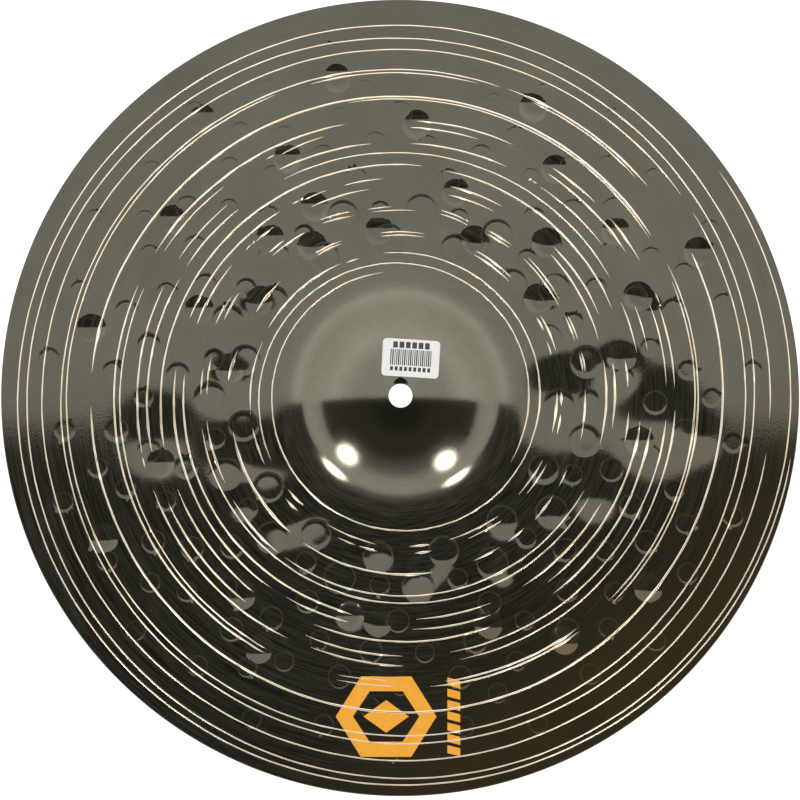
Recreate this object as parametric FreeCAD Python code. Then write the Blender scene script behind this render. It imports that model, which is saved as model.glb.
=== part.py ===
import FreeCAD, Part
import math
import os

from FreeCAD import Vector

# A 16 inch crash cymbal: one hammered and lathed bronze plate with a bell, a bow and a
# plain centre hole, a paper label inside the bell, and ink marks on the underside.
# Millimetres. The axis of the hole is Z, the bell points up, and the rim rests on z = 0.

# The plate's shape, on its underside
DIAMETER = 406.4            # 16 inches over the rim
BOW_RADIUS = 800.0          # arc of the bow, from the bell's foot to the rim
BELL_DIAMETER = 132.0       # foot of the bell, where its flare runs into the bow
SHOULDER_DIAMETER = 96.0    # ring where the bell is steepest
SHOULDER_ANGLE = 38.0       # slope of the bell at that ring, degrees
HOLE_DIAMETER = 12.5        # hole for the stand's rod and its sleeve

# The plate's wall, which tapers over the bow
BELL_WALL = 1.1
RIM_WALL = 0.7

# The paper label inside the bell
LABEL_WIDTH = 30.0
LABEL_HEIGHT = 20.0
LABEL_CORNER = 2.0
LABEL_TURN = 3.4            # degrees about Z
LABEL_SIDE_SHIFT = -5.4     # its middle, to the side of the hole
LABEL_HOLE_GAP = 3.65       # from the hole's edge to the label's near edge
PAPER_THICKNESS = 0.12

# Ink on the label: a caption of plain blocks above a block of bars, and dashes below
INK_THICKNESS = 0.06
INK_MARGIN = 4.0            # bars to the label's side edges
CAPTION_MARGIN = 1.5        # caption to the label's top edge
CAPTION_WIDTH = 20.0
CAPTION_HEIGHT = 3.3
CAPTION_BLOCKS = 6
CAPTION_GAP = 0.9
BAR_HEIGHT = 8.4
BAR_COUNT = 21
BAR_TO_PITCH = (0.4, 0.65, 0.5)   # bar widths, as shares of the pitch, in turn
DASH_HEIGHT = 2.2
DASH_COUNT = 9
DASH_TO_PITCH = 0.62
ROW_GAP = 0.8               # between the caption, the bars and the dashes

# Ink marks on the bow: a six-sided emblem, and a strip of slanted blocks beside it
EMBLEM_WIDTH = 52.0
EMBLEM_HEIGHT = 40.4
EMBLEM_FRAME = 7.5          # line width of its six-sided frame
EMBLEM_CORE_GAP = 4.5       # clear space between the frame and the lozenge inside it
EMBLEM_RIM_GAP = 19.6       # from the rim to the emblem's outer side
EMBLEM_SIDE_SHIFT = 7.0     # its middle, to the side of the hole
STRIP_WIDTH = 6.6
STRIP_LENGTH = 39.6
STRIP_BLOCKS = 7
STRIP_GAP = 1.7             # between its blocks
STRIP_SLANT = 1.6           # rise of each block across the strip
STRIP_EMBLEM_GAP = 5.6      # between the emblem and the strip

# Where the prints are cut from their layers, a prism this much taller than the cymbal
PRISM_MARGIN = 10.0

os.makedirs("parts", exist_ok=True)


# ---- The underside's profile, from three arcs ----

def polar(centre, radius, angle):
    """The point of a circle that lies at an angle from straight up, as (r, z)."""
    return (centre[0] + radius * math.sin(angle), centre[1] + radius * math.cos(angle))


rim_radius = DIAMETER / 2
rim_round = RIM_WALL / 2
rim_centre = (rim_radius - rim_round, rim_round)

bow_centre_z = rim_round - math.sqrt((BOW_RADIUS + rim_round) ** 2 - rim_centre[0] ** 2)
bow_centre = (0.0, bow_centre_z)
rim_angle = math.asin(rim_centre[0] / (BOW_RADIUS + rim_round))
foot_angle = math.asin(BELL_DIAMETER / 2 / BOW_RADIUS)
shoulder_angle = math.radians(SHOULDER_ANGLE)

foot = polar(bow_centre, BOW_RADIUS, foot_angle)
flare_run = BELL_DIAMETER / 2 - SHOULDER_DIAMETER / 2
flare_radius = flare_run / (math.sin(shoulder_angle) - math.sin(foot_angle))
flare_centre = polar(foot, flare_radius, foot_angle)

shoulder = polar(flare_centre, -flare_radius, shoulder_angle)
dome_radius = SHOULDER_DIAMETER / 2 / math.sin(shoulder_angle)
dome_centre = (0.0, shoulder[1] - dome_radius * math.cos(shoulder_angle))
hole_radius = HOLE_DIAMETER / 2


def at(point):
    """A profile point (r, z) as a vector in the XZ plane."""
    return Vector(point[0], 0, point[1])


def line(start, end):
    return Part.makeLine(at(start), at(end))


def arc(centre, radius, start_angle, end_angle):
    """An arc of the profile, between two angles from straight up."""
    angles = (start_angle, (start_angle + end_angle) / 2, end_angle)
    points = [at(polar(centre, radius, angle)) for angle in angles]
    return Part.Arc(*points).toShape()


def hole_edge(depth):
    """The dome's point at the hole, at a depth below the underside."""
    return polar(dome_centre, dome_radius - depth, math.asin(hole_radius / (dome_radius - depth)))


def bell_edges(depth):
    """Dome and flare, from the hole out to the foot, at a depth below the underside."""
    hole_angle = math.asin(hole_radius / (dome_radius - depth))
    return [
        arc(dome_centre, dome_radius - depth, hole_angle, shoulder_angle),
        arc(flare_centre, -flare_radius - depth, shoulder_angle, foot_angle),
    ]


def bow_edge(depth):
    """The bow, from the foot to where the rim is rounded, at a depth below the underside."""
    return arc(bow_centre, BOW_RADIUS - depth, foot_angle, rim_angle)


def turned(edges):
    """The solid that a closed profile makes when it is turned about the hole's axis."""
    face = Part.Face(Part.Wire(Part.__sortEdges__(edges)))
    return face.revolve(Vector(0, 0, 0), Vector(0, 0, 1), 360)


# ---- The bronze plate: bell, bow, rounded rim and hole, all one piece ----

def taper_edge(start, start_angle, end):
    """The top of the bow: an arc that leaves the foot along it and ends at the rim."""
    run = (end[0] - start[0], end[1] - start[1])
    drop = run[0] * math.sin(start_angle) + run[1] * math.cos(start_angle)
    radius = -(run[0] ** 2 + run[1] ** 2) / (2 * drop)
    centre = polar(start, -radius, start_angle)
    end_angle = math.atan2(end[0] - centre[0], end[1] - centre[1])
    return arc(centre, radius, start_angle, end_angle)


def cymbal_plate():
    top_foot = polar(foot, BELL_WALL, foot_angle)
    top_rim = polar(rim_centre, rim_round, rim_angle)
    edges = bell_edges(0.0)
    edges.append(bow_edge(0.0))
    edges.append(arc(rim_centre, rim_round, rim_angle, rim_angle + math.pi))
    edges.append(taper_edge(top_foot, foot_angle, top_rim))
    edges += bell_edges(-BELL_WALL)
    edges.append(line(hole_edge(0.0), hole_edge(-BELL_WALL)))
    return turned(edges)


# ---- Thin layers that lie on the underside ----

def layer(near, far):
    """Everything between two depths below the underside, from the hole to the rim."""
    edges = bell_edges(near) + bell_edges(far)
    edges.append(bow_edge(near))
    edges.append(bow_edge(far))
    edges.append(line(hole_edge(near), hole_edge(far)))
    edges.append(line(polar(bow_centre, BOW_RADIUS - near, rim_angle),
                      polar(bow_centre, BOW_RADIUS - far, rim_angle)))
    return turned(edges)


def prism(outline):
    """A flat outline taken straight up past the top of the bell."""
    return Part.Face(outline).extrude(Vector(0, 0, hole_edge(0.0)[1] + PRISM_MARGIN))


def printed(prisms, near, far):
    """What the prisms cut out of a layer, as one group of solids."""
    stock = layer(near, far)
    pieces = []
    for shape in prisms:
        pieces += stock.common(shape).Solids
    return Part.makeCompound(pieces)


def polygon(corners):
    points = [Vector(x, y, 0) for x, y in corners]
    return Part.makePolygon(points + points[:1])


def block(x, y, width, height, slant=0.0):
    """A four-sided outline about a middle point, with its right side raised by the slant."""
    left = x - width / 2
    right = x + width / 2
    low = y - height / 2
    high = y + height / 2
    half = slant / 2
    return polygon([(left, low - half), (right, low + half), (right, high + half),
                    (left, high - half)])


def row(count, width, y, height, shares):
    """Blocks at an even pitch along a row, with widths that are shares of the pitch, in turn."""
    pitch = width / count
    outlines = []
    for index in range(count):
        x = (index + 0.5) * pitch - width / 2
        outlines.append(block(x, y, pitch * shares[index % len(shares)], height))
    return outlines


# ---- The label and the ink on it ----

label_y = hole_radius + LABEL_HOLE_GAP + LABEL_HEIGHT / 2


def on_label(outlines):
    """Prisms from outlines drawn about the label's middle, turned and moved to the label."""
    for outline in outlines:
        outline.rotate(Vector(0, 0, 0), Vector(0, 0, 1), LABEL_TURN)
        outline.translate(Vector(LABEL_SIDE_SHIFT, label_y, 0))
    return [prism(outline) for outline in outlines]


def rounded_rectangle(width, height, corner):
    x = width / 2 - corner
    y = height / 2 - corner
    diagonal = corner * math.sqrt(0.5)
    edges = []
    for sx, sy in ((1, 1), (-1, 1), (-1, -1), (1, -1)):
        start = Vector(sx * (x + corner), sy * y, 0)
        middle = Vector(sx * (x + diagonal), sy * (y + diagonal), 0)
        end = Vector(sx * x, sy * (y + corner), 0)
        edges.append(Part.Arc(start, middle, end).toShape())
        edges.append(Part.makeLine(end, Vector(-end.x, end.y, 0)) if sx == sy
                     else Part.makeLine(start, Vector(start.x, -start.y, 0)))
    return Part.Wire(Part.__sortEdges__(edges))


def bell_label():
    outline = rounded_rectangle(LABEL_WIDTH, LABEL_HEIGHT, LABEL_CORNER)
    return printed(on_label([outline]), 0.0, PAPER_THICKNESS)


def label_ink(outlines):
    return printed(on_label(outlines), PAPER_THICKNESS, PAPER_THICKNESS + INK_THICKNESS)


caption_y = LABEL_HEIGHT / 2 - CAPTION_MARGIN - CAPTION_HEIGHT / 2
bar_y = caption_y - CAPTION_HEIGHT / 2 - ROW_GAP - BAR_HEIGHT / 2
dash_y = bar_y - BAR_HEIGHT / 2 - ROW_GAP - DASH_HEIGHT / 2
bars_width = LABEL_WIDTH - 2 * INK_MARGIN


def label_caption_print():
    pitch = CAPTION_WIDTH / CAPTION_BLOCKS
    share = 1 - CAPTION_GAP / pitch
    return label_ink(row(CAPTION_BLOCKS, CAPTION_WIDTH, caption_y, CAPTION_HEIGHT, (share,)))


def label_bar_print():
    bars = row(BAR_COUNT, bars_width, bar_y, BAR_HEIGHT, BAR_TO_PITCH)
    dashes = row(DASH_COUNT, bars_width, dash_y, DASH_HEIGHT, (DASH_TO_PITCH,))
    return label_ink(bars + dashes)


# ---- The ink on the bow ----

emblem_y = -(rim_radius - EMBLEM_RIM_GAP - EMBLEM_HEIGHT / 2)


def hexagon(width, height):
    """A flat-topped six-sided outline, whose top side is half its width."""
    x = width / 2
    y = height / 2
    return [(x, 0), (x / 2, y), (-x / 2, y), (-x, 0), (-x / 2, -y), (x / 2, -y)]


def emblem_print():
    side_slope = EMBLEM_HEIGHT / 2 / (EMBLEM_WIDTH / 4)
    side_reach = math.sqrt(1 + 1 / side_slope ** 2)
    inner_height = EMBLEM_HEIGHT - 2 * EMBLEM_FRAME
    inner_width = EMBLEM_WIDTH - 2 * EMBLEM_FRAME * side_reach
    core_height = inner_height - 2 * EMBLEM_CORE_GAP
    core_width = inner_width - 2 * EMBLEM_CORE_GAP * side_reach
    outer = polygon(hexagon(EMBLEM_WIDTH, EMBLEM_HEIGHT))
    inner = polygon(hexagon(inner_width, inner_height))
    core = polygon([(core_width / 2, 0), (0, core_height / 2), (-core_width / 2, 0),
                    (0, -core_height / 2)])
    for outline in (outer, inner, core):
        outline.translate(Vector(EMBLEM_SIDE_SHIFT, emblem_y, 0))
    frame = prism(outer).cut(prism(inner))
    return printed([frame, prism(core)], 0.0, INK_THICKNESS)


def side_print():
    pitch = (STRIP_LENGTH + STRIP_GAP - STRIP_SLANT) / STRIP_BLOCKS
    x = EMBLEM_SIDE_SHIFT - EMBLEM_WIDTH / 2 - STRIP_EMBLEM_GAP - STRIP_WIDTH / 2
    prisms = []
    for index in range(STRIP_BLOCKS):
        y = emblem_y + (index - (STRIP_BLOCKS - 1) / 2) * pitch
        prisms.append(prism(block(x, y, STRIP_WIDTH, pitch - STRIP_GAP, STRIP_SLANT)))
    return printed(prisms, 0.0, INK_THICKNESS)


pieces = {
    "cymbal_plate": cymbal_plate(),
    "bell_label": bell_label(),
    "label_caption_print": label_caption_print(),
    "label_bar_print": label_bar_print(),
    "emblem_print": emblem_print(),
    "side_print": side_print(),
}

for name, shape in pieces.items():
    shape.exportStep("parts/" + name + ".step")

print("hole from z", round(hole_edge(0.0)[1], 3), "to", round(hole_edge(-BELL_WALL)[1], 3))
for name, shape in pieces.items():
    box = shape.BoundBox
    print(name, len(shape.Solids), "solids", shape.isValid(), round(shape.Volume, 3), "mm3",
          [round(v, 2) for v in (box.XMin, box.YMin, box.ZMin, box.XMax, box.YMax, box.ZMax)])
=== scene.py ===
import math
import random

import bpy
import numpy as np
from mathutils import Matrix, Vector, kdtree
from mathutils.geometry import delaunay_2d_cdt


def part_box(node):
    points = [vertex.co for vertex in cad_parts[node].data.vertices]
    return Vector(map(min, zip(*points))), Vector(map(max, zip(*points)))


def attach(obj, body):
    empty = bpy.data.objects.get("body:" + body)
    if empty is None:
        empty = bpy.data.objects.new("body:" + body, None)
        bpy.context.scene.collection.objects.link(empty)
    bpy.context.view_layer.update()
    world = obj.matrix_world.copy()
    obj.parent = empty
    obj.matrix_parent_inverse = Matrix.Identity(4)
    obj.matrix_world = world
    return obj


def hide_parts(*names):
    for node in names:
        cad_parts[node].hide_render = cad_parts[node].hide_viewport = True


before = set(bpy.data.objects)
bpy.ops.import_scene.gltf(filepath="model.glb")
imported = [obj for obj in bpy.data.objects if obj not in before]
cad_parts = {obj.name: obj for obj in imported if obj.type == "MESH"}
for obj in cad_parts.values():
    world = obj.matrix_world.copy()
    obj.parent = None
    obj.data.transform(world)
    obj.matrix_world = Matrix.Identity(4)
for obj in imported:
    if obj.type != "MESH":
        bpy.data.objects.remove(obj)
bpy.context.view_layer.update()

# A 16 inch crash cymbal. Lengths are in millimetres until a mesh is made, then metres.
# Places on the plate are given as it is seen from below, where +Y is up and -X is to the
# right: a radius from the hole's axis, and an angle in degrees anticlockwise from the right.
MM = 0.001
BODY = "root"

# ---------------------------------------------------------------- the plate's sizes
DIAMETER = 406.4
BOW_RADIUS = 800.0
BELL_DIAMETER = 132.0
SHOULDER_DIAMETER = 96.0
SHOULDER_ANGLE = math.radians(38.0)
HOLE_DIAMETER = 12.5
BELL_WALL = 1.1
RIM_WALL = 0.7

RIM_RADIUS = DIAMETER / 2
RIM_ROUND = RIM_WALL / 2
FOOT_RADIUS = BELL_DIAMETER / 2
SHOULDER_RADIUS = SHOULDER_DIAMETER / 2
HOLE_RADIUS = HOLE_DIAMETER / 2

# Centres and radii of the three arcs of the underside's profile
RIM_ANGLE = math.asin((RIM_RADIUS - RIM_ROUND) / (BOW_RADIUS + RIM_ROUND))
FOOT_ANGLE = math.asin(FOOT_RADIUS / BOW_RADIUS)
BOW_Z = RIM_ROUND - (BOW_RADIUS + RIM_ROUND) * math.cos(RIM_ANGLE)
FLARE_RADIUS = (FOOT_RADIUS - SHOULDER_RADIUS) / (math.sin(SHOULDER_ANGLE) - math.sin(FOOT_ANGLE))
FLARE_R = (BOW_RADIUS + FLARE_RADIUS) * math.sin(FOOT_ANGLE)
FLARE_Z = BOW_Z + (BOW_RADIUS + FLARE_RADIUS) * math.cos(FOOT_ANGLE)
DOME_RADIUS = SHOULDER_RADIUS / math.sin(SHOULDER_ANGLE)
DOME_Z = FLARE_Z - (FLARE_RADIUS + DOME_RADIUS) * math.cos(SHOULDER_ANGLE)

# The plate's outer edge on the underside, where the rim starts to round
EDGE_RADIUS = BOW_RADIUS * math.sin(RIM_ANGLE)

# ---------------------------------------------------------------- hammer marks
# Rings of marks: radius, first angle, width, depth, and how flat the middle is (2 is a ball,
# 12 is flat with a steep edge). Each ring has a mark every 24 degrees.
MARK_PITCH = 24.0
MARK_RINGS = [
    (180.5, 5.0, 10.0, 0.175, 12),
    (172.0, 17.0, 10.5, 0.185, 12),
    (159.5, 0.5, 10.0, 0.175, 12),
    (148.0, 6.0, 10.0, 0.18, 11),
    (147.0, 18.0, 12.0, 0.22, 11),
    (131.5, 11.5, 10.0, 0.19, 11),
    (131.5, 23.5, 12.0, 0.23, 11),
    (115.5, 5.5, 12.0, 0.24, 10),
    (98.0, 11.5, 16.5, 0.34, 9),
    (97.5, 0.0, 10.5, 0.26, 8),
    (82.5, 22.0, 15.5, 0.33, 9),
]
# Heavy single blows between the rings: (angle, radius)
HEAVY_WIDTH = 15.0
HEAVY_DEPTH = 1.45
HEAVY_MARKS = [
    (26.5, 170), (65.5, 164), (101, 167), (125, 175), (38, 140), (56, 142), (86.5, 141),
    (115, 136), (141.5, 148), (167, 162), (205, 168), (240.5, 148), (268, 141), (304.5, 150),
    (323, 160), (23.5, 133), (11, 116), (47, 110), (75, 110), (114, 108), (129, 106),
    (156, 113), (65, 90), (36, 88), (97, 87), (120, 91), (145, 88), (170, 89), (195, 128),
    (231, 130), (257, 115), (264.5, 116), (291.5, 125), (350, 125),
]
# Wide shallow hollows that the heavy blows leave: (angle, radius, width, depth)
SWELLS = [
    (1, 84, 33, 1.6), (8, 114, 21, 1.1), (355, 131, 40, 1.7), (31, 85, 21, 1.5),
    (19, 135, 16, 1.1), (44, 106, 18, 1.6), (62, 84, 18, 1.7), (150, 85, 21, 1.5),
    (175, 88, 22, 1.0), (121, 88, 16, 1.5), (189, 127, 30, 1.1), (199, 93, 23, 0.85),
    (207, 76, 25, 0.9), (232, 74, 22, 1.1), (227, 88, 23, 1.25), (263, 78, 20, 1.35),
    (284, 83, 20, 1.5), (276, 91, 20, 1.6), (311, 83, 19, 1.1), (334, 112, 23, 1.15),
    (257, 112, 19, 1.7), (323, 98, 13, 0.7), (353, 154, 16, 0.6), (301, 103, 15, 1.1),
    (214, 98, 14, 0.7),
]
# The dent that the burr of the hole leaves beside it, at the top of the view from below
BURR_SIDE = 0.0
BURR_UP = 5.1
BURR_WIDTH = 8.6
BURR_DEPTH = 0.7
JITTER = random.Random(16)

# ---------------------------------------------------------------- lathe grooves
# Each run of the tool is (width, [(angle, radius), ...]). Angles grow past 360 in a spiral.
THIN = 0.74
FINE = 0.5
WIDE = 0.98
BOLD = 1.15
WIDEST = 1.7
SPIRALS = [
    (THIN, [(97, 65.7), (180, 66.3), (270, 68.6), (360, 72.2), (457, 75.6)]),
    (THIN, [(330, 66.0), (360, 66.5), (450, 69.9), (540, 73.0), (566, 74.0)]),
    (THIN, [(112, 168), (180, 170.8), (240, 172.3), (300, 174), (360, 176.6), (393, 177.3)]),
    (THIN, [(396, 177.4), (450, 178.5), (480, 179.7), (540, 183), (600, 184.5), (660, 186.6),
            (712, 188.9)]),
    (THIN, [(717, 188.8), (756, 189.1), (810, 190.5), (870, 193.3), (900, 195), (960, 196.7),
            (1020, 198.5), (1072, 201.2)]),
    (THIN, [(72, 167.7), (120, 169.8), (180, 173.5), (240, 175.8), (300, 178.4), (360, 181),
            (420, 183), (450, 184), (510, 188.6), (540, 190.4), (600, 192.8), (660, 195.8),
            (720, 199), (756, 199.5)]),
    (BOLD, [(181, 158.6), (240, 160.3), (300, 162.5), (360, 165.2), (387, 166.8)]),
    (BOLD, [(33, 153.3), (64, 154.2), (100, 155.2), (140, 156.4), (175, 158.6)]),
    (THIN, [(33, 152.0), (64, 152.9), (100, 154.0)]),
    (THIN, [(316, 151.5), (350, 152.6), (387, 153.5)]),
    (THIN, [(316, 149.3), (350, 151.0), (384, 151.8)]),
    (THIN, [(30, 124.6), (60, 125.4), (90, 126.5), (118, 127.8)]),
    (WIDE, [(84, 120.3), (120, 121.2), (150, 122), (180, 123.2), (192, 124)]),
    (THIN, [(188, 103.4), (220, 104), (250, 105), (270, 106), (300, 107.8), (333, 110)]),
    (THIN, [(234, 101.5), (270, 102.2), (300, 103.6), (334, 106)]),
    (THIN, [(283, 138), (310, 139.5), (340, 140.6), (358, 141.3)]),
    (THIN, [(281, 133.3), (310, 134.8), (356, 137)]),
    (WIDE, [(173, 111.5), (240, 113.2), (258, 114)]),
]
# Short runs: (width, first angle, last angle, first radius, last radius)
SHORT_RUNS = [
    (WIDE, 41, 71, 167, 167.8), (THIN, 43, 66, 165.5, 166.3), (THIN, 76, 106, 166.3, 167.5),
    (WIDE, 276, 308, 149.2, 151), (WIDE, 279, 308, 147.4, 149.2), (THIN, 257, 270, 148.5, 148.3),
    (THIN, 257, 268, 146, 145.2), (WIDE, 156, 242, 146.3, 148.3), (THIN, 156, 242, 143.1, 146),
    (WIDE, 101, 149, 143.6, 146.2), (WIDE, 106, 116, 140.2, 139.5), (THIN, 117, 119, 140.7, 140.7),
    (THIN, 129, 148, 141.5, 142.8), (THIN, 131, 148, 133.3, 134.4), (WIDE, 130, 148, 128, 129.1),
    (WIDE, 2.5, 20, 141, 141), (THIN, 20.3, 23, 141.8, 141.8), (THIN, 3, 21, 137, 137),
    (BOLD, 30, 41, 142, 142), (BOLD, 45, 57, 142, 142), (WIDE, 33, 57, 138.2, 138.2),
    (WIDE, 66, 87, 142.8, 142.8), (WIDE, 73, 88, 139.3, 139.3), (WIDE, 96, 118, 131.8, 133),
    (THIN, 37, 57, 130.6, 130.6), (FINE, 57.5, 59, 131, 131), (WIDE, 65, 88, 131.2, 131.2),
    (THIN, 11, 22, 129.7, 129.7), (WIDE, 11, 24, 124, 124), (THIN, 3, 10, 117.4, 117.4),
    (WIDE, 23, 79, 118.5, 119.6), (WIDE, 23, 45, 111.2, 111.2), (WIDE, 352, 370, 110.3, 111),
    (WIDE, 347, 371, 105.8, 106.6), (WIDE, 16, 44, 106.5, 107.4), (BOLD, 62, 77, 112.2, 112.2),
    (WIDE, 63, 77, 107.9, 107.9), (WIDE, 94, 105, 113.5, 113.5), (WIDE, 98, 115, 108.9, 108.9),
    (THIN, 109, 116, 113.7, 113.7), (THIN, 116.6, 119, 114.5, 114.5),
    (THIN, 126, 133, 109.7, 109.7),
    (THIN, 133.6, 136, 110.3, 110.3), (WIDE, 126, 132, 101.1, 101.1), (WIDE, 119, 132, 98.7, 98.7),
    (BOLD, 148, 158, 101.5, 102.5), (BOLD, 146, 156, 99.3, 99.3), (WIDE, 171, 179, 102.7, 102.7),
    (WIDE, 167, 179, 99.6, 99.6), (WIDE, 141, 160, 110.5, 111.3), (WIDE, 122, 159, 114.5, 115.8),
    (THIN, 30, 49, 94.8, 96.3), (THIN, 32, 48, 96.7, 98.2), (WIDE, 8, 15, 96.5, 96.5),
    (THIN, 8, 15, 95.2, 95.2), (WIDE, 18, 27, 96.5, 96.5), (WIDE, 18, 27, 95, 95),
    (WIDE, 54, 63, 97.8, 97.8), (WIDE, 54, 63, 96, 96), (WIDE, 69, 78, 98, 99.5),
    (WIDE, 69, 78, 96.2, 97.5), (THIN, 85, 99, 97.2, 97.2), (THIN, 92, 100, 99, 99),
    (WIDE, 104, 114, 99.5, 101), (WIDE, 104, 114, 97.2, 98.8), (WIDE, 17, 31, 84.1, 84.1),
    (THIN, 16, 21.5, 81.3, 81.3), (WIDE, 25.5, 31, 82, 82), (WIDE, 47, 63, 84.9, 85.7),
    (WIDE, 47, 63, 82.7, 83.5), (WIDE, 81, 97, 86, 86), (WIDE, 81, 97, 84.3, 84.3),
    (WIDE, 110, 120, 86.8, 86.8), (WIDE, 110, 120, 85.4, 85.4), (BOLD, 135, 149, 86.5, 86.5),
    (BOLD, 163, 174, 87.5, 89), (WIDE, 347, 354.6, 83.2, 83.2), (WIDE, 357.4, 363, 83.2, 83.2),
    (WIDE, 347, 363, 80.5, 81), (WIDE, 106, 112, 75.4, 75.4), (WIDE, 113, 152, 76, 77),
    (THIN, 157, 187, 76.8, 77.7), (WIDE, 191, 206, 77.8, 77.8), (WIDE, 221, 228, 78.7, 78.7),
    (BOLD, 219, 228, 74.8, 74.8), (WIDE, 186, 206, 100.4, 100.4), (BOLD, 211, 232, 101, 101.7),
    (BOLD, 191, 231, 88, 89.5), (WIDE, 236, 281, 90, 91.5), (WIDE, 294, 304, 92.4, 92.4),
    (WIDE, 307, 314, 92.8, 92.8), (WIDE, 318, 328, 93.6, 93.6), (WIDE, 331, 337, 93.8, 93.8),
    (WIDE, 347, 363, 95.5, 95.5), (WIDE, 246, 253.5, 79, 79.5), (WIDE, 254.5, 262, 79.4, 80),
    (WIDE, 240, 261, 75.3, 76.5), (BOLD, 273, 282, 77, 77), (WIDE, 275, 282, 80.5, 80.5),
    (WIDE, 289, 310, 77.5, 79), (WIDE, 296, 310, 80.7, 82), (BOLD, 323, 336, 82, 83),
    (BOLD, 321, 337, 79, 80.3), (WIDE, 200, 245, 135.4, 136.6), (WIDE, 204, 233, 130.8, 131.6),
    (WIDE, 202, 233, 123.8, 125.2), (WIDE, 172, 236, 116.3, 118.4), (WIDE, 240, 257, 118.4, 118.4),
    (WIDE, 154, 192, 134.4, 135.5), (THIN, 192.6, 195, 135.8, 136), (WIDE, 151, 192, 129, 130.6),
    (WIDE, 250, 271, 136.3, 137.8), (WIDE, 248, 271, 131.6, 133), (WIDE, 249, 292, 124.8, 126.5),
    (WIDE, 273, 293, 119.5, 121), (WIDE, 274, 294, 114.3, 115.5), (WIDE, 308, 354, 127.8, 129.5),
    (WIDE, 309, 355, 121.5, 124), (WIDE, 303, 333, 115.7, 116.8), (THIN, 349, 357, 117.8, 117.8),
]
GROOVE_STEP = 1.9           # between points along a groove
GROOVE_SLOPE = 0.70         # tilt of a groove's side at its edge, as a slope
GROOVE_END = 13.0           # length over which a groove runs out at each end
GROOVE_ON_MARK = 0.45       # how much wider the tool cuts where the metal stands proud
GROOVE_WANDER = 0.06        # how far the tool strays from its path

# ---------------------------------------------------------------- the mesh
GRID_STEP = 2.3             # between points of the plain surface
OUTLINE_STEP = 1.8          # between points along the edge of a print
CLEAR_STEP = 1.0            # least space between a plain point and a groove or a print
RIM_POINTS = 720
RIM_ROWS = 6
HOLE_POINTS = 72
MARK_SHARES = (0.0, 0.36, 0.64, 0.8, 0.89, 0.945, 1.0, 1.07)
PAPER_THICKNESS = 0.12
INK_THICKNESS = 0.06
LAYER_GAP = 0.004           # keeps the faces of two layers apart


def below(angle, radius):
    """A point of the plate, from its angle and radius as it is seen from below."""
    turn = math.radians(angle)
    return (-radius * math.cos(turn), radius * math.sin(turn))


# ================================================================ the surface as a formula

def underside(radius):
    """Height of the smooth underside, and its slope along the radius."""
    dome = radius <= SHOULDER_RADIUS
    flare = (radius > SHOULDER_RADIUS) & (radius <= FOOT_RADIUS)
    on_dome = np.where(dome, radius, 0.0)
    on_flare = np.where(flare, FLARE_R - radius, 0.0)
    on_bow = np.where(radius > FOOT_RADIUS, radius, 0.0)
    dome_rise = np.sqrt(DOME_RADIUS ** 2 - on_dome ** 2)
    flare_rise = np.sqrt(FLARE_RADIUS ** 2 - on_flare ** 2)
    bow_rise = np.sqrt(BOW_RADIUS ** 2 - on_bow ** 2)
    height = np.select([dome, flare], [DOME_Z + dome_rise, FLARE_Z - flare_rise],
                       BOW_Z + bow_rise)
    slope = np.select([dome, flare], [-on_dome / dome_rise, -on_flare / flare_rise],
                      -on_bow / bow_rise)
    return height, slope


def wall(radius):
    """Thickness of the plate, which tapers over the bow."""
    share = np.clip((radius - FOOT_RADIUS) / (EDGE_RADIUS - FOOT_RADIUS), 0, 1)
    return BELL_WALL + (RIM_WALL - BELL_WALL) * share ** 2


def all_marks():
    """Every hammer mark as (x, y, radius, depth, flatness)."""
    marks = []
    for ring, first, width, depth, flatness in MARK_RINGS:
        for index in range(round(360 / MARK_PITCH)):
            angle = first + index * MARK_PITCH + JITTER.uniform(-0.25, 0.25)
            x, y = below(angle, ring + JITTER.uniform(-0.5, 0.5))
            marks.append((x, y, width / 2, depth * JITTER.uniform(0.85, 1.15), flatness))
    for angle, radius in HEAVY_MARKS:
        x, y = below(angle, radius)
        depth = HEAVY_DEPTH * JITTER.uniform(0.8, 1.15)
        marks.append((x, y, HEAVY_WIDTH / 2, depth, 2))
    marks.append((BURR_SIDE, BURR_UP, BURR_WIDTH / 2, BURR_DEPTH, 2))
    return np.array(marks)


MARKS = all_marks()
SWELL_TABLE = np.array([(*below(angle, radius), width / 2, depth)
                        for angle, radius, width, depth in SWELLS])


def hammering(points):
    """How far the hammer drove the metal down at each point, and the slope of that in x and y."""
    depth = np.zeros(len(points))
    slope = np.zeros((len(points), 2))
    for x, y, reach, deep, flatness in MARKS:
        offset = points - (x, y)
        share = np.hypot(offset[:, 0], offset[:, 1]) / reach
        near = share < 1.0001
        height = np.where(near, deep * (1 - np.minimum(share, 1) ** flatness), 0)
        higher = near & (height >= depth)
        steep = -deep * flatness * share ** (flatness - 2) / reach ** 2
        steep = np.where(share > 0.999, 0.5 * steep, steep)
        slope[higher] = offset[higher] * steep[higher, None]
        depth = np.where(higher, height, depth)
    for x, y, reach, deep in SWELL_TABLE:
        offset = points - (x, y)
        swell = deep * np.exp(-(offset ** 2).sum(axis=1) / reach ** 2)
        depth = depth + swell
        slope = slope - offset * (2 * swell / reach ** 2)[:, None]
    return depth, slope


# ================================================================ grooves

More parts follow.
